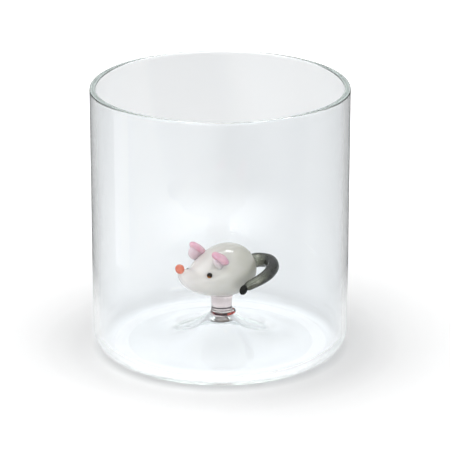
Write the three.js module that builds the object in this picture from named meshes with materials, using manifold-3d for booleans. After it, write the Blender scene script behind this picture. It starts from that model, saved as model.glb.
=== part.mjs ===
// A drinking tumbler of clear blown glass with a small lampworked mouse standing on a glass stem
// in the middle of its floor. Millimetres, +Z up, origin at the centre of the base's underside.
// The mouse faces towards -X and -Y. Every piece is glass, and nothing moves.

import * as THREE from 'three';
import { mergeVertices } from 'three/addons/utils/BufferGeometryUtils.js';
import Module from 'manifold-3d';

const wasm = await Module();
wasm.setup();

// Driving dimensions
const GAP = 0.3;                 // clearance kept between pieces that are fused on the real tumbler

const DIAMETER = 80;             // tumbler, outside
const HEIGHT = 85;
const WALL = 1.9;
const FLOOR = 2.4;               // floor thickness, the same from the heel to the middle
const HEEL = 6.5;                // outside radius between the floor and the wall
const RISE = [                   // how far the floor is drawn up: radius, height of its underside
  [0, 8.1], [3.2, 7.95], [5, 7.1], [7.6, 5.4], [11, 3.6], [16, 1.7], [22, 0.5], [29, 0],
];
const MOUND_HEIGHT = RISE[0][1] + FLOOR;

const WELD_RADIUS = 4.05;        // coloured bead squeezed out between the mound and the stem
const WELD_THICKNESS = 0.9;
const WELD_OFFSET = 0.9;         // it sits a little to +X
const STEM_RADIUS = 3.3;
const STEM_OFFSET = 0.45;
const STEM_FOOT = MOUND_HEIGHT + GAP + WELD_THICKNESS + GAP;
const STEM_TOP = 19;             // before it is cut to fit under the body

const HEADING = THREE.MathUtils.degToRad(-135);
const BODY_START = -13.1;        // rump, along the mouse's own length
const BODY_AXIS = 23.9;          // height of the body's middle over the table
const SNOUT_LIFT = 5.4;          // how far the snout turns up
const SNOUT_START = 2.5;
const BELLY = 0.86;              // flattening of the underside

const NOSE_RADIUS = 1.45;
const NOSE_AT = [17.6, 0, 29.7];
const EYE_RADIUS = 0.9;
const EYE_AT = [9.4, 4.85, 26.7];
const EYE_DROP = 0.9;            // the right eye was set this much lower
const EAR_AT = [4.9, 5.0, 31.5]; // middle of the ear's pink upper edge
const EAR_RISE = 0.4;            // the right ear was set this much higher, the left one lower
const TAIL_ROOT_RADIUS = 2.2;
const TAIL_END_RADIUS = 1.2;
const TIP_RADIUS = 1.15;

const CLEAR = glass('#e4e9ea', 0.05);
const PINK_CLEAR = glass('#d8c8c6', 0.06);
const RUBY = glass('#6a1d22', 0.1);
const OPAL = glass('#dcd9d0', 0.08);
const MILKY = glass('#e6dcda', 0.08);
const ROSE = glass('#e3a9c0', 0.08);
const CORAL = glass('#e28464', 0.1);
const BLACK = glass('#151513', 0.08);
const SMOKE = glass('#5b6054', 0.05);

function glass(colour, roughness) {
  return new THREE.MeshStandardMaterial({ color: colour, roughness, metalness: 0 });
}

function mesh(name, geometry, material) {
  const piece = new THREE.Mesh(geometry, material);
  piece.name = name;
  return piece;
}

// Points of an arc from angle `from` to angle `to`, in degrees.
function arc(cx, cz, radius, from, to, count) {
  return Array.from({ length: count + 1 }, (_, i) => {
    const angle = THREE.MathUtils.degToRad(from + (to - from) * i / count);
    return new THREE.Vector2(cx + radius * Math.cos(angle), cz + radius * Math.sin(angle));
  });
}

// A turned shape about +Z from an outline given as radius and height.
function turned(outline, sides) {
  return new THREE.LatheGeometry(outline, sides).rotateX(Math.PI / 2);
}

// A closed three.js geometry as a solid that can be cut.
function toSolid(geometry) {
  const bare = geometry.clone();
  bare.deleteAttribute('normal');
  bare.deleteAttribute('uv');
  const merged = mergeVertices(bare);
  const index = merged.index.array;
  const triangles = [];
  for (let i = 0; i < index.length; i += 3) {
    const [a, b, c] = [index[i], index[i + 1], index[i + 2]];
    if (a !== b && b !== c && c !== a) triangles.push(a, b, c);
  }
  return new wasm.Manifold(new wasm.Mesh({
    numProp: 3,
    vertProperties: new Float32Array(merged.attributes.position.array),
    triVerts: new Uint32Array(triangles),
  }));
}

function toGeometry(solid) {
  const cutMesh = solid.getMesh();
  const geometry = new THREE.BufferGeometry();
  geometry.setAttribute('position', new THREE.BufferAttribute(cutMesh.vertProperties, 3));
  geometry.setIndex(new THREE.BufferAttribute(cutMesh.triVerts, 1));
  geometry.computeVertexNormals();
  return geometry;
}

// `geometry` with every one of `tools` taken out of it.
function cut(geometry, ...tools) {
  let solid = toSolid(geometry);
  for (const tool of tools) solid = solid.subtract(toSolid(tool));
  return toGeometry(solid);
}

// A gather of hot glass: an outline of distance and radius, turned and then laid along `spine`.
// `under` flattens the side that faces down, and `grow` makes it larger all over.
function gather(spine, outline, rings, sides, { grow = 0, under = 1 } = {}) {
  const length = spine.getLength();
  const profile = Array.from({ length: rings + 1 }, (_, i) => {
    const point = outline.getPoint(i / rings);
    const tangent = outline.getTangent(i / rings);
    const radius = i === 0 || i === rings ? 0 : point.y + grow * tangent.x;
    return new THREE.Vector2(radius, point.x - grow * tangent.y);
  });
  const geometry = new THREE.LatheGeometry(profile, sides);
  const position = geometry.attributes.position;
  const up = new THREE.Vector3(0, 0, 1);
  for (let i = 0; i < position.count; i++) {
    const across = position.getX(i);
    const along = position.getY(i);
    const height = position.getZ(i) * (position.getZ(i) < 0 ? under : 1);
    const t = THREE.MathUtils.clamp(along / length, 0, 1);
    const tangent = spine.getTangentAt(t);
    const side = tangent.clone().cross(up).normalize();
    const top = side.clone().cross(tangent);
    const point = spine.getPointAt(t)
      .addScaledVector(tangent, along - t * length)
      .addScaledVector(side, across)
      .addScaledVector(top, height);
    position.setXYZ(i, point.x, point.y, point.z);
  }
  return geometry;
}

// An oval lump whose three half sizes lie along its own long, wide and thin directions.
function lump(at, long, thin, sizes, segments = 20) {
  const x = new THREE.Vector3(...long).normalize();
  const z = new THREE.Vector3(...thin);
  z.addScaledVector(x, -z.dot(x)).normalize();
  const y = z.clone().cross(x);
  const placed = new THREE.Matrix4().makeBasis(x, y, z).setPosition(...at);
  return new THREE.SphereGeometry(1, segments, segments * 0.6).scale(...sizes).applyMatrix4(placed);
}

function tumbler() {
  const outer = DIAMETER / 2;
  const inner = outer - WALL;
  const heelAt = outer - HEEL;
  const fillet = inner - heelAt;
  const rim = WALL / 2;
  const rise = new THREE.SplineCurve(RISE.map(([r, z]) => new THREE.Vector2(r, z))).getPoints(14);
  const outline = [
    ...rise,
    ...arc(heelAt, HEEL, HEEL, -90, 0, 7),
    ...arc(outer - rim, HEIGHT - rim, rim, 0, 180, 6),
    ...arc(heelAt, FLOOR + fillet, fillet, 0, -90, 6),
    ...rise.reverse().map(({ x, y }) => new THREE.Vector2(x, y + FLOOR)),
  ];
  return mesh('tumbler', turned(outline, 64), CLEAR);
}

function weldBead() {
  const radius = WELD_THICKNESS / 2;
  const outline = [
    new THREE.Vector2(0, STEM_FOOT - GAP - WELD_THICKNESS),
    ...arc(WELD_RADIUS - radius, STEM_FOOT - GAP - radius, radius, -90, 90, 6),
    new THREE.Vector2(0, STEM_FOOT - GAP),
  ];
  const bead = mesh('weld_bead', turned(outline, 32), RUBY);
  bead.position.x = WELD_OFFSET;
  return bead;
}

function stem(body) {
  const outline = new THREE.SplineCurve([
    [0.25, 0], [0.08, 1.2], [0, 2.6], [0.02, 4], [0.2, STEM_TOP - STEM_FOOT],
  ].map(([swell, height]) => new THREE.Vector2(STEM_RADIUS + swell, STEM_FOOT + height)));
  const ends = [new THREE.Vector2(0, STEM_FOOT), new THREE.Vector2(0, STEM_TOP)];
  const rod = turned([ends[0], ...outline.getPoints(8), ends[1]], 28).translate(STEM_OFFSET, 0, 0);
  return mesh('stem', cut(rod, body(GAP)), PINK_CLEAR);
}

// The body's shape, larger all over by `grow`: rump, flanks, and a snout that turns up.
function bodyShape(grow = 0) {
  const spine = new THREE.CatmullRomCurve3(Array.from({ length: 13 }, (_, i) => {
    const along = BODY_START + (NOSE_AT[0] - 0.4 - BODY_START) * i / 12;
    const reach = Math.max(0, along - SNOUT_START) / (NOSE_AT[0] - SNOUT_START);
    return new THREE.Vector3(along, 0, BODY_AXIS + SNOUT_LIFT * reach ** 4);
  }));
  const length = spine.getLength();
  const outline = new THREE.SplineCurve([
    [0, 0], [0.012, 2.2], [0.06, 5], [0.16, 7.6], [0.3, 8.75], [0.45, 8.3],
    [0.6, 6.8], [0.72, 5.05], [0.83, 3.45], [0.92, 2.35], [0.98, 1.3], [1, 0],
  ].map(([at, radius]) => new THREE.Vector2(at * length, radius)));
  return gather(spine, outline, 28, 32, { grow, under: BELLY });
}

// Each ear is a milky flap that leans forward, with a pink bead drawn along its upper edge.
function ears(body) {
  const forward = new THREE.Vector3(0.78, 0, 0.63);
  const down = new THREE.Vector3(0.63, 0, -0.78);
  return [['left', 1], ['right', -1]].flatMap(([side, sign]) => {
    const edge = new THREE.Vector3(EAR_AT[0], sign * EAR_AT[1], EAR_AT[2] - sign * EAR_RISE);
    const middle = edge.clone().addScaledVector(down, 1.7).addScaledVector(forward, -0.3);
    const outward = [-0.1, sign * 0.9, 0.35];
    const flap = lump(middle, forward, outward, [3.4, 2.4, 1.2]);
    const bead = (grow) => lump(edge, forward, outward, [4.1 + grow, 1.6 + grow, 1.7 + grow]);
    return [
      mesh(`ear_${side}`, cut(flap, body(GAP), bead(GAP)), MILKY),
      mesh(`ear_edge_${side}`, cut(bead(0), body(GAP)), ROSE),
    ];
  });
}

function nose(body) {
  const bead = lump(NOSE_AT, [1, 0, 0], [0, 0, 1], [NOSE_RADIUS, NOSE_RADIUS, NOSE_RADIUS]);
  return mesh('nose', cut(bead, body(GAP)), CORAL);
}

function eyes(body) {
  return [['left', 1], ['right', -1]].map(([side, sign]) => {
    const at = [EYE_AT[0], sign * EYE_AT[1], EYE_AT[2] - (sign < 0 ? EYE_DROP : 0)];
    const dot = lump(at, [1, 0, 0], [0, 0, 1], [EYE_RADIUS, EYE_RADIUS, EYE_RADIUS], 14);
    return mesh(`eye_${side}`, cut(dot, body(GAP)), BLACK);
  });
}

// The tail leaves the rump, loops out to the mouse's left and comes back beside its flank.
function tailCurve() {
  return new THREE.CatmullRomCurve3([
    [-11.2, 1.0, 24.9], [-14.2, 3.2, 25.4], [-14.9, 6.9, 25.7], [-12.9, 10.4, 25.4],
    [-9.2, 12.3, 24.6], [-5.0, 12.6, 23.6], [-1.4, 11.7, 22.5], [0.2, 10.9, 21.8],
  ].map((point) => new THREE.Vector3(...point)));
}

function tailShape(grow = 0) {
  const curve = tailCurve();
  const length = curve.getLength();
  const radiusAt = (t) => THREE.MathUtils.lerp(TAIL_ROOT_RADIUS, TAIL_END_RADIUS, t ** 1.3);
  const shaft = [0.08, 0.2, 0.35, 0.5, 0.65, 0.8, 0.9, 0.96].map((t) => [t * length, radiusAt(t)]);
  const [first, last] = [shaft[0][1], shaft.at(-1)[1]];
  const outline = new THREE.SplineCurve([
    [0, 0], [first * 0.3, first * 0.75], ...shaft, [length - last * 0.3, last * 0.7], [length, 0],
  ].map(([at, radius]) => new THREE.Vector2(at, radius)));
  return gather(curve, outline, 40, 16, { grow });
}

function tail(body) {
  return mesh('tail', cut(tailShape(), body(GAP)), SMOKE);
}

function tailTip() {
  const end = tailCurve().getPointAt(1);
  const at = [end.x + 0.3, end.y - 0.25, end.z - 0.75];
  const bead = lump(at, [0.3, -0.35, -0.9], [0, 1, 0], [TIP_RADIUS + 0.5, TIP_RADIUS, TIP_RADIUS], 16);
  return mesh('tail_tip', cut(bead, tailShape(GAP)), BLACK);
}

function mouse() {
  const figure = new THREE.Group();
  figure.rotation.z = HEADING;
  const body = mesh('mouse_body', bodyShape(), OPAL);
  figure.add(body, ...ears(bodyShape), nose(bodyShape), ...eyes(bodyShape));
  figure.add(tail(bodyShape), tailTip());
  return figure;
}

// The stem stands on the tumbler's own axis, so the body is turned to the tumbler before it cuts it.
const bodyInPlace = (grow) => bodyShape(grow).rotateZ(HEADING);

const glassWithMouse = new THREE.Group();
glassWithMouse.add(tumbler(), weldBead(), stem(bodyInPlace), mouse());
export default glassWithMouse;
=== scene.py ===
"""A clear blown-glass tumbler with a lampworked glass mouse on a stem inside."""

import math

import bmesh
import bpy
import numpy as np
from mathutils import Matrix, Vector, noise


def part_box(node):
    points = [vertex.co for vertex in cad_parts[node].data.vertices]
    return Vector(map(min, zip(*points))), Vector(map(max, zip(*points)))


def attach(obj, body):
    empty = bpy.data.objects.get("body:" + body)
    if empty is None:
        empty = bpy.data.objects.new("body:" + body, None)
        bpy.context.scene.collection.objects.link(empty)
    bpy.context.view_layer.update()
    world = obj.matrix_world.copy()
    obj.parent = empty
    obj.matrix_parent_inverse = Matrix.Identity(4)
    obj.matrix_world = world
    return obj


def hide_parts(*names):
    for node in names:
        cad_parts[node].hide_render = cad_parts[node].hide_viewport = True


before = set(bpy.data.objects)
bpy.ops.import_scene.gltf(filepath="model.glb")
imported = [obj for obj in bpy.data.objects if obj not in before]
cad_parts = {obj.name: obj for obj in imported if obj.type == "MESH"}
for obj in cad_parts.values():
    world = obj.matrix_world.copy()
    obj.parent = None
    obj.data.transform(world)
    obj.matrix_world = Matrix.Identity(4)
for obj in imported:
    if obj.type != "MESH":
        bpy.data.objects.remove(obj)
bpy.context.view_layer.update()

MM = 0.001
BODY = "root"

# -------------------- the tumbler's and the mouse's sizes
tumbler_low, tumbler_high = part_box("tumbler")
RADIUS = tumbler_high.x
HEIGHT = tumbler_high.z
WALL = 1.9 * MM
FLOOR = 2.4 * MM
HEEL = 6.5 * MM
FLOOR_RISE = [(0, 8.1), (3.2, 7.95), (5, 7.1), (7.6, 5.4), (11, 3.6), (16, 1.7), (22, 0.5), (29, 0)]

bead_low, bead_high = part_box("weld_bead")
MOUND_HEIGHT = bead_low.z - 0.3 * MM
BEAD_MIDDLE = (bead_low + bead_high) / 2
BEAD_RADIUS = (bead_high.x - bead_low.x) / 2
STEM_X = 0.45 * MM
STEM_RADIUS = 3.3 * MM

HEADING = math.radians(-135)
BODY_START, BODY_END, BODY_AXIS = -13.1, 17.2, 23.9
SNOUT_START, SNOUT_LIFT, NOSE_REACH = 2.5, 5.4, 17.6
BELLY = 0.86
BODY_OUTLINE = [
    (0, 0), (0.012, 2.2), (0.06, 5), (0.16, 7.6), (0.3, 8.75), (0.45, 8.3),
    (0.6, 6.8), (0.72, 5.05), (0.83, 3.45), (0.92, 2.35), (0.98, 1.3), (1, 0),
]
NOSE_AT, NOSE_SIZE = (17.5, 0, 29.7), 1.45
EYE_AT, EYE_DROP, EYE_SIZE = (9.35, 4.75, 26.7), 0.9, 0.86
EAR_AT, EAR_RISE = (4.9, 5.0, 31.5), 0.4
TAIL_PATH = [
    (-11.2, 1.0, 24.9), (-14.2, 3.2, 25.4), (-14.9, 6.9, 25.7), (-12.9, 10.4, 25.4),
    (-9.2, 12.3, 24.6), (-5.0, 12.6, 23.6), (-1.4, 11.7, 22.5), (0.2, 10.9, 21.8),
]
TAIL_ROOT, TAIL_END = 2.4, 1.45

# half sizes of the ears along, across and through: the right flap is larger and spreads wider
# across than the left
EAR_FLAP = {"left": (3.1, 1.6, 0.8), "right": (3.6, 2.5, 1.0)}
EAR_EDGE = {"left": (4.1, 1.6, 1.7), "right": (4.1, 1.4, 1.6)}
EAR_FLAP_DROP = {"left": 0.2, "right": 0.4}
EAR_FADE = {"left": 1.25, "right": 0.7}

CLEAR_IOR, DENSE_IOR = 1.47, 1.5
BLACK_GLOSS, SMOKE_GLOSS = 0.04, 0.3

CAMERA_LENS, CAMERA_SENSOR, CAMERA_DIP = 216.6, 36, 19.34
CAMERA_PLACE = (0.0018, -0.8, 0.32)
FLOOR_REACH = 12
BOUNCES = 64


# -------------------- curves and meshes
def smooth_line(points, count):
    """Points along a Catmull-Rom curve through `points`."""
    p = np.array(points, float)
    p = np.vstack([2 * p[0] - p[1], p, 2 * p[-1] - p[-2]])
    spans = len(p) - 3
    out = []
    for u in np.linspace(0, spans, count):
        i = min(int(u), spans - 1)
        t = u - i
        a, b, c, d = p[i:i + 4]
        square, cube = 2 * a - 5 * b + 4 * c - d, 3 * b - a - 3 * c + d
        out.append(0.5 * (2 * b + (c - a) * t + square * t**2 + cube * t**3))
    return np.array(out)


def arc(cx, cz, radius, start, end, count):
    """Points of an arc about (cx, cz) from one angle to another, in degrees."""
    angles = np.radians(np.linspace(start, end, count + 1))
    return [(cx + radius * math.cos(a), cz + radius * math.sin(a)) for a in angles]


def figure_place(point):
    """A point of the mouse's own frame, in millimetres, as a place in the tumbler's frame."""
    x, y, z = point
    c, s = math.cos(HEADING), math.sin(HEADING)
    return Vector(((x * c - y * s) * MM, (x * s + y * c) * MM, z * MM))


def figure_way(direction):
    """A direction of the mouse's own frame in the tumbler's frame."""
    return (figure_place(direction) - figure_place((0, 0, 0))).normalized()


def new_piece(name, mesh, material):
    piece = bpy.data.objects.new(name, mesh)
    bpy.context.scene.collection.objects.link(piece)
    mesh.materials.clear()
    mesh.materials.append(material)
    for face in mesh.polygons:
        face.use_smooth = True
    return piece


def tidy_mesh(mesh):
    """Joins doubled corners and turns every face outwards."""
    shape = bmesh.new()
    shape.from_mesh(mesh)
    bmesh.ops.remove_doubles(shape, verts=shape.verts, dist=1e-7)
    bmesh.ops.recalc_face_normals(shape, faces=shape.faces)
    if shape.calc_volume(signed=True) < 0:
        bmesh.ops.reverse_faces(shape, faces=shape.faces)
    shape.to_mesh(mesh)
    shape.free()


def ringed_mesh(name, rings):
    """A closed mesh through a stack of rings; the first and last ring are single points."""
    first, last, middle = rings[0], rings[-1], rings[1:-1]
    sides = len(middle[0])
    corners = [first] + [p for ring in middle for p in ring] + [last]
    faces = [(0, 1 + (j + 1) % sides, 1 + j) for j in range(sides)]
    for i in range(len(middle) - 1):
        low, high = 1 + i * sides, 1 + (i + 1) * sides
        for j in range(sides):
            k = (j + 1) % sides
            faces.append((low + j, low + k, high + k, high + j))
    top, tip = 1 + (len(middle) - 1) * sides, len(corners) - 1
    faces += [(top + j, top + (j + 1) % sides, tip) for j in range(sides)]
    mesh = bpy.data.meshes.new(name)
    mesh.from_pydata([tuple(c) for c in corners], [], faces)
    tidy_mesh(mesh)
    return mesh


def uneven(mesh, amount, scale, seed):
    """The slight unevenness of glass worked by hand."""
    shift = Vector((seed, seed * 1.7, -seed))
    for corner, normal in zip(mesh.vertices, [n.vector.copy() for n in mesh.vertex_normals]):
        corner.co += normal * (amount * noise.noise(corner.co * scale + shift))


def body_spine(along):
    """The body's middle line: level at the rump, then rising to the snout."""
    reach = max(0, along - SNOUT_START) / (NOSE_REACH - 0.1 - SNOUT_START)
    return np.array([along, 0, BODY_AXIS + SNOUT_LIFT * reach**4])


def body_mesh():
    """The body: rings along a spine that rises to the snout, flattened underneath."""
    spine = np.array([body_spine(a) for a in np.linspace(BODY_START, BODY_END, 241)])
    steps = np.linalg.norm(np.diff(spine, axis=0), axis=1)
    run = np.concatenate([[0], np.cumsum(steps)])
    outline = smooth_line([(at * run[-1], radius) for at, radius in BODY_OUTLINE], 97)
    rings = []
    for s, radius in outline:
        here = np.array([np.interp(s, run, spine[:, k]) for k in range(3)])
        ahead = np.array([np.interp(s + 0.2, run, spine[:, k]) for k in range(3)])
        back = np.array([np.interp(s - 0.2, run, spine[:, k]) for k in range(3)])
        tangent = (ahead - back) / np.linalg.norm(ahead - back)
        side = np.cross(tangent, (0, 0, 1))
        side /= np.linalg.norm(side)
        top = np.cross(side, tangent)
        ring = []
        for angle in np.linspace(0, 2 * math.pi, 96, endpoint=False):
            height = math.cos(angle) * (BELLY if math.cos(angle) < 0 else 1)
            ring.append(figure_place(here + radius * (math.sin(angle) * side + height * top)))
        rings.append(ring)
    rings[0], rings[-1] = figure_place(spine[0]), figure_place(spine[-1])
    return ringed_mesh("mouse_body_glass", rings)


def lump_mesh(name, at, long, thin, sizes, rings=36, sides=56):
    """An oval lump in the mouse's frame; sizes are half its length, width and thickness."""
    x = Vector(long).normalized()
    z = Vector(thin)
    z = (z - x * z.dot(x)).normalized()
    y = z.cross(x)
    middle = Vector(at)
    stack = []
    for polar in np.linspace(0, math.pi, rings + 1):
        ring = []
        for turn in np.linspace(0, 2 * math.pi, sides, endpoint=False):
            wide, deep = math.sin(polar) * math.cos(turn), math.sin(polar) * math.sin(turn)
            point = middle - x * (sizes[0] * math.cos(polar))
            point = point + y * (sizes[1] * wide) + z * (sizes[2] * deep)
            ring.append(figure_place(point))
        stack.append(ring)
    stack[0] = figure_place(middle - x * sizes[0])
    stack[-1] = figure_place(middle + x * sizes[0])
    return ringed_mesh(name, stack)


# -------------------- node helpers
def fill(link, socket, value):
    """Links an output to a socket, or sets the socket to a plain value."""
    if isinstance(value, bpy.types.NodeSocket):
        link(value, socket)
    else:
        socket.default_value = value


def add_math(make, link, operation, *values):
    node = make("ShaderNodeMath")
    node.operation = operation
    for socket, value in zip(node.inputs, values):
        fill(link, socket, value)
    return node.outputs["Value"]


def add_ramp(make, link, source, start, end, low=0, high=1):
    """Maps source from start..end to low..high and holds it beyond both ends."""
    node = make("ShaderNodeMapRange")
    limits = (("From Min", start), ("From Max", end), ("To Min", low), ("To Max", high))
    for label, value in (("Value", source), *limits):
        fill(link, node.inputs[label], value)
    return node.outputs["Result"]


def add_mix(make, link, kind, factor, first, second):
    """first where factor is 0, second where it is 1."""
    node = make("ShaderNodeMix")
    node.data_type = kind
    for label, value in (("Factor", factor), ("A", first), ("B", second)):
        fill(link, node.inputs[label], value)
    return node.outputs["Result"]


# -------------------- Geometry Nodes
def new_tree(name, inputs):
    tree = bpy.data.node_groups.new(name, "GeometryNodeTree")
    tree.interface.new_socket("Geometry", in_out="INPUT", socket_type="NodeSocketGeometry")
    for label, kind in inputs:
        tree.interface.new_socket(label, in_out="INPUT", socket_type=kind)
    tree.interface.new_socket("Geometry", in_out="OUTPUT", socket_type="NodeSocketGeometry")
    return tree


def finish_tree(tree, source, socket):
    """Ends a tree: doubles joined, smooth shading, instances made real and the material set."""
    make, link = tree.nodes.new, tree.links.new
    merge = make("GeometryNodeMergeByDistance")
    merge.inputs["Distance"].default_value = 1e-6
    shade = make("GeometryNodeSetShadeSmooth")
    real = make("GeometryNodeRealizeInstances")
    paint = make("GeometryNodeSetMaterial")
    link(socket, merge.inputs["Geometry"])
    link(merge.outputs["Geometry"], shade.inputs["Geometry"])
    link(shade.outputs["Geometry"], real.inputs["Geometry"])
    link(real.outputs["Geometry"], paint.inputs["Geometry"])
    link(source.outputs["Material"], paint.inputs["Material"])
    link(paint.outputs["Geometry"], make("NodeGroupOutput").inputs["Geometry"])


def turned_tree():
    """Turns an outline, drawn with X as radius and Z as height, about the upright axis."""
    tree = new_tree("turned_glass", [
        ("Turning radius", "NodeSocketFloat"),
        ("Sides", "NodeSocketInt"),
        ("Material", "NodeSocketMaterial"),
    ])
    make, link = tree.nodes.new, tree.links.new
    source = make("NodeGroupInput")
    outline = make("GeometryNodeMeshToCurve")
    place = make("GeometryNodeInputPosition")
    split = make("ShaderNodeSeparateXYZ")
    laid = make("ShaderNodeCombineXYZ")
    move = make("GeometryNodeSetPosition")
    circle = make("GeometryNodeCurvePrimitiveCircle")
    sweep = make("GeometryNodeCurveToMesh")
    link(source.outputs["Geometry"], outline.inputs["Mesh"])
    link(place.outputs["Position"], split.inputs["Vector"])
    inward = add_math(make, link, "SUBTRACT", split.outputs["X"], source.outputs["Turning radius"])
    link(inward, laid.inputs["X"])
    link(add_math(make, link, "MULTIPLY", split.outputs["Z"], -1), laid.inputs["Y"])
    link(outline.outputs["Curve"], move.inputs["Geometry"])
    link(laid.outputs["Vector"], move.inputs["Position"])
    link(source.outputs["Turning radius"], circle.inputs["Radius"])
    link(source.outputs["Sides"], circle.inputs["Resolution"])
    link(circle.outputs["Curve"], sweep.inputs["Curve"])
    link(move.outputs["Geometry"], sweep.inputs["Profile Curve"])
    finish_tree(tree, source, sweep.outputs["Mesh"])
    return tree


def drawn_tree():
    """Draws a round rod along a path, as thick at each point as its thickness attribute says."""
    tree = new_tree("drawn_rod", [("Sides", "NodeSocketInt"), ("Material", "NodeSocketMaterial")])
    make, link = tree.nodes.new, tree.links.new
    source = make("NodeGroupInput")
    path = make("GeometryNodeMeshToCurve")
    thickness = make("GeometryNodeInputNamedAttribute")
    thickness.data_type = "FLOAT"
    thickness.inputs["Name"].default_value = "thickness"
    section = make("GeometryNodeCurvePrimitiveCircle")
    section.inputs["Radius"].default_value = 1
    sweep = make("GeometryNodeCurveToMesh")
    sweep.inputs["Fill Caps"].default_value = True
    link(source.outputs["Geometry"], path.inputs["Mesh"])
    link(source.outputs["Sides"], section.inputs["Resolution"])
    link(path.outputs["Curve"], sweep.inputs["Curve"])
    link(section.outputs["Curve"], sweep.inputs["Profile Curve"])
    link(thickness.outputs["Attribute"], sweep.inputs["Scale"])
    finish_tree(tree, source, sweep.outputs["Mesh"])
    return tree


def grown(name, tree, line, values, material, thickness=None):
    """A plain mesh made by a tree from a line of points."""
    guide = bpy.data.meshes.new(name + "_line")
    guide.from_pydata([tuple(p) for p in line], [(i, i + 1) for i in range(len(line) - 1)], [])
    if thickness is not None:
        guide.attributes.new("thickness", "FLOAT", "POINT").data.foreach_set("value", thickness)
    carrier = bpy.data.objects.new(name + "_line", guide)
    bpy.context.scene.collection.objects.link(carrier)
    modifier = carrier.modifiers.new("grow", "NODES")
    modifier.node_group = tree
    sockets = tree.interface.items_tree
    named = {item.name: item.identifier for item in sockets if item.in_out == "INPUT"}
    for label, value in values.items():
        modifier[named[label]] = value
    modifier[named["Material"]] = material
    ready = carrier.evaluated_get(bpy.context.evaluated_depsgraph_get())
    mesh = bpy.data.meshes.new_from_object(ready)
    mesh.name = name
    bpy.data.objects.remove(carrier)
    tidy_mesh(mesh)
    return mesh


# -------------------- shader node groups
def new_group(name, inputs, outputs):
    group = bpy.data.node_groups.new(name, "ShaderNodeTree")
    for label, kind, value in inputs:
        socket = group.interface.new_socket(label, in_out="INPUT", socket_type=kind)
        socket.default_value = value
    for label, kind in outputs:
        group.interface.new_socket(label, in_out="OUTPUT", socket_type=kind)
    return group, group.nodes.new, group.links.new


def fired_skin():
    """Fire-polished skin: a height for the bump, and a roughness with faint hazy patches."""
    group, make, link = new_group(
        "fired_skin",
        [
            ("Scale", "NodeSocketFloat", 200),
            ("Gloss", "NodeSocketFloat", 0.05),
            ("Haze", "NodeSocketFloat", 0.05),
        ],
        [("Height", "NodeSocketFloat"), ("Roughness", "NodeSocketFloat")],
    )
    source, end = make("NodeGroupInput"), make("NodeGroupOutput")
    place = make("ShaderNodeTexCoord")
    ripple = make("ShaderNodeTexNoise")
    ripple.inputs["Detail"].default_value = 1
    patch = make("ShaderNodeTexNoise")
    patch.inputs["Detail"].default_value = 4
    for cloud in (ripple, patch):
        link(place.outputs["Object"], cloud.inputs["Vector"])
        link(source.outputs["Scale"], cloud.inputs["Scale"])
    values = (patch.outputs["Fac"], source.outputs["Haze"], source.outputs["Gloss"])
    link(ripple.outputs["Fac"], end.inputs["Height"])
    link(add_math(make, link, "MULTIPLY_ADD", *values), end.inputs["Roughness"])
    return group


def clouded_colour():
    """Two colours of glass run into each other in soft clouds and drawn-out streaks."""
    group, make, link = new_group(
        "clouded_colour",
        [
            ("Colour", "NodeSocketColor", (1, 1, 1, 1)),
            ("Cloud", "NodeSocketColor", (0, 0, 0, 1)),
            ("Scale", "NodeSocketFloat", 150),
            ("Amount", "NodeSocketFloat", 1),
            ("Stretch", "NodeSocketVector", (1, 1, 1)),
        ],
        [("Colour", "NodeSocketColor"), ("Mask", "NodeSocketFloat")],
    )
    source, end = make("NodeGroupInput"), make("NodeGroupOutput")
    place = make("ShaderNodeTexCoord")
    stretch = make("ShaderNodeVectorMath")
    stretch.operation = "MULTIPLY"
    cloud = make("ShaderNodeTexNoise")
    cloud.inputs["Detail"].default_value = 5
    cloud.inputs["Distortion"].default_value = 0.8
    link(place.outputs["Object"], stretch.inputs[0])
    link(source.outputs["Stretch"], stretch.inputs[1])
    link(stretch.outputs["Vector"], cloud.inputs["Vector"])
    link(source.outputs["Scale"], cloud.inputs["Scale"])
    share = add_ramp(make, link, cloud.outputs["Fac"], 0.35, 0.68)
    mask = add_math(make, link, "MULTIPLY", share, source.outputs["Amount"])
    colours = source.outputs["Colour"], source.outputs["Cloud"]
    link(add_mix(make, link, "RGBA", mask, *colours), end.inputs["Colour"])
    link(mask, end.inputs["Mask"])
    return group


SKIN = fired_skin()
CLOUDS = clouded_colour()


# -------------------- materials
def new_material(name):
    material = bpy.data.materials.new(name)
    material.use_nodes = True
    nodes, links = material.node_tree.nodes, material.node_tree.links
    nodes.clear()
    output = nodes.new("ShaderNodeOutputMaterial")
    shader = nodes.new("ShaderNodeBsdfPrincipled")
    links.new(shader.outputs["BSDF"], output.inputs["Surface"])
    return material, nodes.new, links.new, shader, output


def add_skin(make, link, shader, scale, gloss, haze, depth):
    """Fired skin on a shader: ripples `depth` deep, roughness from gloss to gloss + haze."""
    skin = make("ShaderNodeGroup")
    skin.node_tree = SKIN
    for label, value in (("Scale", scale), ("Gloss", gloss), ("Haze", haze)):
        skin.inputs[label].default_value = value
    bump = make("ShaderNodeBump")
    bump.inputs["Strength"].default_value = 1
    bump.inputs["Distance"].default_value = depth
    link(skin.outputs["Height"], bump.inputs["Height"])
    link(bump.outputs["Normal"], shader.inputs["Normal"])
    link(skin.outputs["Roughness"], shader.inputs["Roughness"])


def add_clouds(make, colour, cloud, scale, amount=1, stretch=(1, 1, 1)):
    """A colour with clouds of another in it."""
    clouds = make("ShaderNodeGroup")
    clouds.node_tree = CLOUDS
    clouds.inputs["Colour"].default_value = (*colour, 1)
    clouds.inputs["Cloud"].default_value = (*cloud, 1)
    for label, value in (("Scale", scale), ("Amount", amount), ("Stretch", stretch)):
        clouds.inputs[label].default_value = value
    return clouds.outputs["Colour"]


def add_attribute(make, name):
    """A value that mark() stored on the mesh."""
    node = make("ShaderNodeAttribute")
    node.attribute_name = name
    return node.outputs["Fac"]


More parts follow.
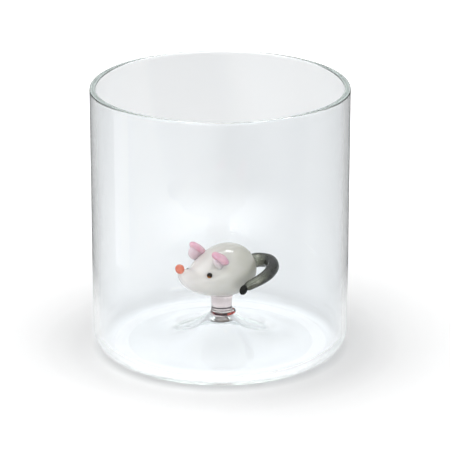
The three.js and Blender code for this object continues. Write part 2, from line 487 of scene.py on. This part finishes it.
def soften(shader, weight, scale, radius=None):
    """Light that goes in under the surface of milky glass."""
    shader.inputs["Subsurface Weight"].default_value = weight
    shader.inputs["Subsurface Scale"].default_value = scale
    if radius:
        shader.inputs["Subsurface Radius"].default_value = radius


def let_lamps_through(make, link, shader, output, tint):
    """Lamps shine through the glass and leave only a pale shadow."""
    path = make("ShaderNodeLightPath")
    clear = make("ShaderNodeBsdfTransparent")
    clear.inputs["Color"].default_value = (*tint, 1)
    mix = make("ShaderNodeMixShader")
    link(path.outputs["Is Shadow Ray"], mix.inputs["Fac"])
    link(shader.outputs["BSDF"], mix.inputs[1])
    link(clear.outputs["BSDF"], mix.inputs[2])
    link(mix.outputs["Shader"], output.inputs["Surface"])


def clear_glass():
    material, make, link, shader, output = new_material("clear_blown_glass")
    shader.inputs["Transmission Weight"].default_value = 1
    shader.inputs["IOR"].default_value = CLEAR_IOR
    colour = add_clouds(make, (0.972, 0.987, 0.998), (0.962, 0.979, 0.992), 40)
    link(colour, shader.inputs["Base Color"])
    add_skin(make, link, shader, 22, 0.0, 0.0, 0.000001)
    let_lamps_through(make, link, shader, output, (0.80, 0.805, 0.81))
    depth = make("ShaderNodeVolumeAbsorption")
    depth.inputs["Color"].default_value = (0.69, 0.81, 0.75, 1)
    depth.inputs["Density"].default_value = 5
    link(depth.outputs["Volume"], output.inputs["Volume"])
    return material


def stem_glass():
    material, make, link, shader, output = new_material("pink_clear_glass")
    shader.inputs["Transmission Weight"].default_value = 1
    shader.inputs["IOR"].default_value = CLEAR_IOR
    colour = add_clouds(make, (0.80, 0.725, 0.72), (0.66, 0.56, 0.565), 260, 1, (1, 1, 0.35))
    link(colour, shader.inputs["Base Color"])
    add_skin(make, link, shader, 450, 0.0, 0.01, 0.00012)
    let_lamps_through(make, link, shader, output, (0.9, 0.84, 0.85))
    return material


def ruby_glass():
    material, make, link, shader, _ = new_material("ruby_bead_glass")
    shader.inputs["IOR"].default_value = DENSE_IOR
    place = make("ShaderNodeTexCoord")
    fleck = make("ShaderNodeTexNoise")
    fleck.inputs["Scale"].default_value = 700
    fleck.inputs["Detail"].default_value = 2
    ramp = make("ShaderNodeValToRGB")
    dark, red = ramp.color_ramp.elements
    dark.position, dark.color = 0.52, (0.035, 0.008, 0.010, 1)
    red.position, red.color = 0.68, (0.75, 0.11, 0.08, 1)
    link(place.outputs["Object"], fleck.inputs["Vector"])
    link(fleck.outputs["Fac"], ramp.inputs["Fac"])
    link(ramp.outputs["Color"], shader.inputs["Base Color"])
    add_skin(make, link, shader, 600, 0.05, 0.1, 0.0001)
    return material


def opal_glass():
    """Greenish white glass, warmer towards the snout, where painted light also makes it much
    brighter; painted shade darkens it towards the rump.
    """
    material, make, link, shader, _ = new_material("opal_white_glass")
    shader.inputs["IOR"].default_value = DENSE_IOR
    soften(shader, 0.35, 0.004, (1, 0.9, 0.75))
    colour = add_clouds(make, (0.47, 0.46, 0.395), (0.53, 0.52, 0.475), 90, 0.8, (1, 1, 2.2))
    place = make("ShaderNodeTexCoord")
    split = make("ShaderNodeSeparateXYZ")
    link(place.outputs["Object"], split.inputs["Vector"])
    # partly the glass's own warmer tint, partly painted light and shade: much brighter towards the
    # snout, darker towards the rump
    to_snout = add_ramp(make, link, split.outputs["X"], 0.010, -0.013)
    warmed_and_painted_lit = add_mix(make, link, "RGBA", to_snout, colour, (0.72, 0.685, 0.665, 1))
    link(warmed_and_painted_lit, shader.inputs["Base Color"])
    add_skin(make, link, shader, 160, 0.04, 0.04, 0.0001)
    return material


def milky_glass():
    """Pinkish milky glass that fades into the body's white at its root."""
    material, make, link, shader, _ = new_material("milky_ear_glass")
    shader.inputs["IOR"].default_value = DENSE_IOR
    soften(shader, 0.8, 0.005, (1, 0.8, 0.85))
    colour = add_clouds(make, (0.76, 0.58, 0.64), (0.74, 0.50, 0.58), 260)
    root = add_attribute(make, "root")
    faded = add_mix(make, link, "RGBA", root, colour, (0.54, 0.52, 0.475, 1))
    link(faded, shader.inputs["Base Color"])
    add_skin(make, link, shader, 300, 0.04, 0.05, 0.0001)
    return material


def rose_glass():
    material, make, link, shader, _ = new_material("rose_pink_glass")
    shader.inputs["IOR"].default_value = DENSE_IOR
    soften(shader, 0.3, 0.002)
    colour = add_clouds(make, (0.66, 0.34, 0.44), (0.72, 0.50, 0.56), 420, 0.9)
    link(colour, shader.inputs["Base Color"])
    add_skin(make, link, shader, 500, 0.04, 0.06, 0.00012)
    return material


def coral_glass():
    material, make, link, shader, _ = new_material("coral_nose_glass")
    shader.inputs["IOR"].default_value = DENSE_IOR
    colour = add_clouds(make, (0.60, 0.105, 0.05), (0.70, 0.21, 0.115), 900)
    link(colour, shader.inputs["Base Color"])
    add_skin(make, link, shader, 900, 0.06, 0.08, 0.00015)
    return material


def eye_glass():
    """Black glass with an amber lower edge."""
    material, make, link, shader, _ = new_material("eye_glass")
    shader.inputs["IOR"].default_value = DENSE_IOR
    shader.inputs["Specular IOR Level"].default_value = BLACK_GLOSS
    colour = add_clouds(make, (0.006, 0.005, 0.005), (0.02, 0.012, 0.008), 2000)
    lower_edge = add_attribute(make, "amber")
    ringed = add_mix(make, link, "RGBA", lower_edge, colour, (0.32, 0.12, 0.015, 1))
    link(ringed, shader.inputs["Base Color"])
    add_skin(make, link, shader, 1500, 0.04, 0.04, 0.00004)
    return material


def black_glass():
    material, make, link, shader, _ = new_material("black_tip_glass")
    shader.inputs["IOR"].default_value = DENSE_IOR
    shader.inputs["Specular IOR Level"].default_value = BLACK_GLOSS
    colour = add_clouds(make, (0.004, 0.004, 0.004), (0.015, 0.015, 0.013), 800)
    link(colour, shader.inputs["Base Color"])
    add_skin(make, link, shader, 700, 0.05, 0.06, 0.0001)
    return material


def smoke_glass():
    """Smoke-grey clear glass, with painted shade darkening it at the rod's edges, and darker at its
    bend.
    """
    material, make, link, shader, output = new_material("smoke_tail_glass")
    shader.inputs["IOR"].default_value = CLEAR_IOR
    shader.inputs["Specular IOR Level"].default_value = SMOKE_GLOSS
    shader.inputs["Transmission Weight"].default_value = 1
    colour = add_clouds(make, (0.40, 0.41, 0.32), (0.12, 0.125, 0.09), 230, 1, (1, 1, 0.6))
    # painted shade: a Layer Weight darkens the glass's colour towards the rod's silhouette
    facing = make("ShaderNodeLayerWeight")
    facing.inputs["Blend"].default_value = 0.5
    edge = add_ramp(make, link, facing.outputs["Facing"], 0.08, 0.45)
    edges_painted_dark = add_mix(make, link, "RGBA", edge, colour, (0.008, 0.008, 0.006, 1))
    bend = add_attribute(make, "bend")
    darkened = add_mix(make, link, "RGBA", bend, edges_painted_dark, (0.004, 0.004, 0.003, 1))
    link(darkened, shader.inputs["Base Color"])
    add_skin(make, link, shader, 260, 0.0, 0.015, 0.00007)
    let_lamps_through(make, link, shader, output, (0.45, 0.46, 0.42))
    return material


# -------------------- pieces
TURNED = turned_tree()
DRAWN = drawn_tree()


def mark(mesh, name, rule):
    """Stores rule(place) at each corner as an attribute that a material reads."""
    values = [min(1, max(0, rule(corner.co))) for corner in mesh.vertices]
    mesh.attributes.new(name, "FLOAT", "POINT").data.foreach_set("value", values)


def settle(piece, slot, *nodes):
    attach(piece, BODY)
    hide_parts(*nodes)
    return piece


def make_tumbler():
    inner = RADIUS - WALL
    heel_at = RADIUS - HEEL
    fillet = inner - heel_at
    rim = WALL / 2
    rise = [(r, z) for r, z in smooth_line(FLOOR_RISE, 48) * MM]
    rise[0] = (0, rise[0][1])
    outline = (
        rise
        + [(r, 0) for r in np.linspace(rise[-1][0], heel_at, 6)[1:-1]]
        + arc(heel_at, HEEL, HEEL, -90, 0, 24)
        + [(RADIUS, HEEL + 0.4 * MM), (RADIUS, HEIGHT - rim - 0.4 * MM)]
        + arc(RADIUS - rim, HEIGHT - rim, rim, 0, 180, 16)
        + [(inner, HEIGHT - rim - 0.4 * MM), (inner, FLOOR + fillet + 0.4 * MM)]
        + arc(heel_at, FLOOR + fillet, fillet, 0, -90, 20)
        + [(r, z + FLOOR) for r, z in reversed(rise)]
    )
    line = [(r, 0, z) for r, z in outline]
    material = clear_glass()
    shape = {"Turning radius": RADIUS, "Sides": 512}
    mesh = grown("tumbler_glass", TURNED, line, shape, material)
    return settle(new_piece("tumbler_glass", mesh, material), "clear_glass", "tumbler")


def make_weld_bead():
    """A ring of ruby glass squeezed out round the stem's foot, thicker towards its front."""
    ring_radius = BEAD_RADIUS - 0.42 * MM
    sides, turns = 24, 120
    corners, faces = [], []
    for i in range(turns):
        turn = 2 * math.pi * i / turns
        out = Vector((math.cos(turn), math.sin(turn), 0))
        front = 0.5 - 0.5 * math.sin(turn)
        thick = (0.24 + 0.18 * front + 0.06 * noise.noise(out * 3)) * MM
        middle = Vector((BEAD_MIDDLE.x, 0, BEAD_MIDDLE.z)) + out * ring_radius
        for j in range(sides):
            angle = 2 * math.pi * j / sides
            across, up = thick * math.cos(angle), thick * math.sin(angle)
            corners.append(middle + out * across + Vector((0, 0, up)))
    for i in range(turns):
        for j in range(sides):
            a, b = i * sides, (i + 1) % turns * sides
            k = (j + 1) % sides
            faces.append((a + j, b + j, b + k, a + k))
    mesh = bpy.data.meshes.new("weld_bead_glass")
    mesh.from_pydata([tuple(c) for c in corners], [], faces)
    tidy_mesh(mesh)
    return settle(new_piece("weld_bead_glass", mesh, ruby_glass()), "ruby_glass", "weld_bead")


def make_stem():
    foot, top = MOUND_HEIGHT - 0.05 * MM, 18.2 * MM
    swell = [(0.35, 0), (0.12, 1.4), (0, 3), (0.05, 4.6), (0.3, 6.4), (0.5, 7.7)]
    side = smooth_line([(STEM_RADIUS + s * MM, foot + h * MM) for s, h in swell], 40)
    side = [p for p in side if p[1] < top]
    foot_face = [(0, 0, foot), (side[0][0] * 0.5, 0, foot)]
    top_face = [(side[-1][0] * 0.5, 0, top), (0, 0, top)]
    line = foot_face + [(r, 0, z) for r, z in side] + top_face
    material = stem_glass()
    shape = {"Turning radius": STEM_RADIUS, "Sides": 96}
    mesh = grown("stem_glass", TURNED, line, shape, material)
    for corner in mesh.vertices:
        corner.co.x += STEM_X
    uneven(mesh, 0.12 * MM, 220, 3)
    return settle(new_piece("stem_glass", mesh, material), "stem_glass", "stem")


def make_body():
    mesh = body_mesh()
    uneven(mesh, 0.1 * MM, 120, 1)
    return settle(new_piece("mouse_body_glass", mesh, opal_glass()), "opal_glass", "mouse_body")


def make_ears():
    forward, down = Vector((0.78, 0, 0.63)), Vector((0.63, 0, -0.78))
    milky, rose = milky_glass(), rose_glass()
    pieces = []
    for side, sign in (("left", 1), ("right", -1)):
        edge = Vector((EAR_AT[0], sign * EAR_AT[1], EAR_AT[2] - sign * EAR_RISE))
        outward = (-0.1, sign * 0.9, 0.35)
        middle = edge + down * 1.7 - forward * 0.3 - down * EAR_FLAP_DROP[side]
        flap = lump_mesh(f"ear_{side}_glass", middle, forward, outward, EAR_FLAP[side])
        tip, root = figure_place(edge), figure_place(edge + down * 3.6)
        way = root - tip
        fade = EAR_FADE[side]
        mark(flap, "root", lambda co: fade * (co - tip).dot(way) / way.length_squared - 0.25)
        bead = lump_mesh(f"ear_edge_{side}_glass", edge, forward, outward, EAR_EDGE[side])
        uneven(flap, 0.15 * MM, 300, sign + 5)
        uneven(bead, 0.15 * MM, 350, sign + 8)
        pieces.append(settle(new_piece(flap.name, flap, milky), "milky_glass", f"ear_{side}"))
        pieces.append(settle(new_piece(bead.name, bead, rose), "rose_glass", f"ear_edge_{side}"))
    return pieces


def make_nose():
    sizes = (NOSE_SIZE, NOSE_SIZE, NOSE_SIZE * 1.05)
    mesh = lump_mesh("nose_glass", NOSE_AT, (1, 0, 0), (0, 0, 1), sizes)
    uneven(mesh, 0.12 * MM, 500, 2)
    return settle(new_piece("nose_glass", mesh, coral_glass()), "coral_glass", "nose")


def make_eyes():
    material = eye_glass()
    pieces = []
    for side, sign in (("left", 1), ("right", -1)):
        at = (EYE_AT[0], sign * EYE_AT[1], EYE_AT[2] - (EYE_DROP if sign < 0 else 0))
        mesh = lump_mesh(f"eye_{side}_glass", at, (1, 0, 0), (0, 0, 1), (EYE_SIZE,) * 3, 24, 32)
        middle, low = figure_place(at), figure_way((0.5, 0, -0.86))
        mark(mesh, "amber", lambda co: ((co - middle).dot(low) / (EYE_SIZE * MM) - 0.35) * 3)
        pieces.append(settle(new_piece(mesh.name, mesh, material), "black_glass", f"eye_{side}"))
    return pieces


def tail_line():
    line = smooth_line(TAIL_PATH, 121)
    steps = np.linalg.norm(np.diff(line, axis=0), axis=1)
    return line, np.concatenate([[0], np.cumsum(steps)])


def make_tail():
    line, run = tail_line()
    length = run[-1]
    shaft = TAIL_ROOT + (TAIL_END - TAIL_ROOT) * (run / length) ** 1.3
    ends = np.minimum(run / TAIL_ROOT, (length - run) / TAIL_END)
    thickness = shaft * np.sqrt(np.clip(1 - (1 - np.clip(ends, 0, 1)) ** 2, 1e-6, 1))
    material = smoke_glass()
    places = [figure_place(p) for p in line]
    mesh = grown("tail_glass", DRAWN, places, {"Sides": 48}, material, thickness * MM)
    bend = figure_place(TAIL_PATH[3])
    mark(mesh, "bend", lambda co: 1.5 - (co - bend).length / (5 * MM))
    uneven(mesh, 0.1 * MM, 200, 4)
    return settle(new_piece("tail_glass", mesh, material), "smoke_glass", "tail")


def make_tail_tip():
    end = TAIL_PATH[-1]
    at = (end[0] + 0.2, end[1] - 0.2, end[2] - 0.6)
    mesh = lump_mesh("tail_tip_glass", at, (0.3, -0.35, -0.9), (0, 1, 0), (1.75, 1.2, 1.2))
    uneven(mesh, 0.12 * MM, 350, 6)
    return settle(new_piece("tail_tip_glass", mesh, black_glass()), "black_glass", "tail_tip")


# -------------------- camera, floor and lights
def make_camera():
    data = bpy.data.cameras.new("camera")
    data.lens, data.sensor_width = CAMERA_LENS, CAMERA_SENSOR
    data.clip_start, data.clip_end = 0.01, 50
    camera = bpy.data.objects.new("camera", data)
    camera.location = CAMERA_PLACE
    camera.rotation_euler = (math.radians(90 - CAMERA_DIP), 0, 0)
    bpy.context.scene.collection.objects.link(camera)
    bpy.context.scene.camera = camera


def pale_floor():
    """Matt and pale, with a painted shadow round the foot. Mirrors see a painted card of light on
    its left side only.
    """
    material, make, link, shader, _ = new_material("pale_floor")
    shader.inputs["Roughness"].default_value = 0.9
    shader.inputs["Specular IOR Level"].default_value = 0.0
    shader.inputs["Emission Color"].default_value = (1, 1, 1, 1)

    def ramp(source, start, end, low, high):
        return add_ramp(make, link, source, start, end, low, high)

    def combine(operation, *values):
        return add_math(make, link, operation, *values)

    place = make("ShaderNodeTexCoord")
    split = make("ShaderNodeSeparateXYZ")
    path = make("ShaderNodeLightPath")
    far = make("ShaderNodeVectorMath")
    far.operation = "LENGTH"
    link(place.outputs["Object"], split.inputs["Vector"])
    link(place.outputs["Object"], far.inputs[0])
    x, y, distance = split.outputs["X"], split.outputs["Y"], far.outputs["Value"]
    mirrors, through = path.outputs["Glossy Depth"], path.outputs["Is Transmission Ray"]
    seen = path.outputs["Is Camera Ray"]

    # the floor's own colour, with a painted shadow darker under the foot and in a ring round it
    foot = ramp(distance, 0.035, 0.0405, 0.69, 1.0)
    painted_contact_shadow = combine("MULTIPLY", foot, ramp(distance, 0.036, 0.060, 0.82, 0.92))
    # the floor as mirrors see it: a painted reflection of a card at the left that fades backwards,
    # and a painted pale reflection near the foot
    leftwards = ramp(combine("MULTIPLY_ADD", y, 0.3, x), -0.06, -0.16, 0.05, 1.1)
    card = combine("MULTIPLY", leftwards, ramp(y, 0.09, 0.0, 0.15, 1.0))
    around = ramp(distance, 0.06, 0.095, 0.9, 0.0)
    # reflections that also passed through glass see mostly the floor's own colour, except at the
    # front, where they see the mirrors' painted colour, which paints shade there
    inside = combine("MULTIPLY", through, ramp(y, -0.07, -0.04, 0.15, 0.88))
    outside = combine("SUBTRACT", 1.0, inside)
    share = combine("MULTIPLY", combine("MINIMUM", mirrors, 1.0), outside)
    colour = add_mix(make, link, "FLOAT", share, painted_contact_shadow, combine("MAXIMUM", card, around))
    link(colour, shader.inputs["Base Color"])
    # a faint glow, seen only by the camera, evens out the floor beyond the shadow; a painted pool
    # of light glows on the floor under the glass, seen only through the glass
    backdrop = combine("MULTIPLY", ramp(distance, 0.045, 0.15, 0.03, 0.6), seen)
    under = combine("MULTIPLY", ramp(distance, 0.035, 0.0405, 0.56, 0.13), through)
    link(combine("ADD", backdrop, under), shader.inputs["Emission Strength"])
    return material


def make_floor():
    mesh = bpy.data.meshes.new("floor")
    signs = ((-1, -1), (1, -1), (1, 1), (-1, 1))
    mesh.from_pydata([(FLOOR_REACH * i, FLOOR_REACH * j, 0) for i, j in signs], [], [(0, 1, 2, 3)])
    floor = new_piece("floor", mesh, pale_floor())


def make_world():
    """A pale room, brightest at the horizon, seen as plain white by the camera."""
    world = bpy.data.worlds.new("studio")
    bpy.context.scene.world = world
    world.use_nodes = True
    nodes = world.node_tree.nodes
    nodes.clear()
    make, link = nodes.new, world.node_tree.links.new
    place = make("ShaderNodeTexCoord")
    split = make("ShaderNodeSeparateXYZ")
    path = make("ShaderNodeLightPath")
    link(place.outputs["Generated"], split.inputs["Vector"])
    ramp = make("ShaderNodeValToRGB")
    for height, level in ((0.0, 0.9), (0.12, 1.0), (0.3, 0.62), (1.0, 0.2)):
        element = ramp.color_ramp.elements.new(height)
        element.color = (level, level, level, 1)
    ramp.color_ramp.elements.remove(ramp.color_ramp.elements[-1])
    ramp.color_ramp.elements.remove(ramp.color_ramp.elements[0])
    link(split.outputs["Z"], ramp.inputs["Fac"])
    strength = add_math(make, link, "MULTIPLY", ramp.outputs["Color"], 1.3)
    for kind, value in (("Is Diffuse Ray", 0.56), ("Is Camera Ray", 1.0)):
        strength = add_mix(make, link, "FLOAT", path.outputs[kind], strength, value)
    background = make("ShaderNodeBackground")
    output = make("ShaderNodeOutputWorld")
    link(strength, background.inputs["Strength"])
    link(background.outputs["Background"], output.inputs["Surface"])


def aim(lamp, place, target):
    lamp.location = place
    lamp.rotation_euler = (Vector(target) - Vector(place)).to_track_quat("-Z", "Y").to_euler()
    bpy.context.scene.collection.objects.link(lamp)


def make_lamp(name, place, target, size, power, lights=True, through=True, mirrored=True):
    """An area lamp, and whether matt surfaces, rays through glass and mirrors see it."""
    data = bpy.data.lights.new(name, "AREA")
    data.shape = "RECTANGLE"
    data.size, data.size_y = size
    data.energy = power
    lamp = bpy.data.objects.new(name, data)
    lamp.visible_camera = False
    lamp.visible_diffuse, lamp.visible_transmission = lights, through
    lamp.visible_glossy = mirrored
    aim(lamp, place, target)


def make_lights():
    glass, mouse, foot = (0, 0, 0.04), (0, 0, 0.03), (0, 0, 0.02)
    make_lamp("ceiling_box", (-0.2, -0.2, 1.25), glass, (1.2, 1.2), 8.0)
    make_lamp("front_fill", (-0.25, -0.75, 0.2), foot, (0.3, 0.3), 1.4, mirrored=False)
    make_lamp("right_fill", (0.5, -0.6, 0.12), foot, (0.3, 0.3), 0.7, mirrored=False)
    only_mirrored = {"lights": False, "through": False}
    make_lamp("back_box", (0.24, 0.5, 0.9), mouse, (0.3, 0.07), 1.5, **only_mirrored)
    make_lamp("rim_box", (0.1, 0.52, 1.0), glass, (0.9, 0.12), 0.8, **only_mirrored)
    # three nested sheets make one strip with soft edges
    strip_place, strip_target = (-0.124, -0.014, 0.032), (0, -0.014, 0.032)
    for width, height in ((0.036, 0.066), (0.028, 0.054), (0.018, 0.040)):
        power = 2.2 * width * height
        make_lamp("left_strip", strip_place, strip_target, (width, height), power, **only_mirrored)
    glow = bpy.data.lights.new("glow_behind", "SPOT")
    glow.energy, glow.shadow_soft_size = 3.8, 0.02
    glow.spot_size, glow.spot_blend = math.radians(4.9), 1
    aim(bpy.data.objects.new("glow_behind", glow), (0, 0.35, 0.5), (0, 0.125, 0))


make_camera()
make_tumbler()
make_weld_bead()
make_stem()
make_body()
make_ears()
make_nose()
make_eyes()
make_tail()
make_tail_tip()
make_floor()
make_world()
make_lights()
paths = bpy.context.scene.cycles
paths.max_bounces = paths.glossy_bounces = paths.transmission_bounces = BOUNCES
bpy.context.scene.view_settings.view_transform = "Standard"
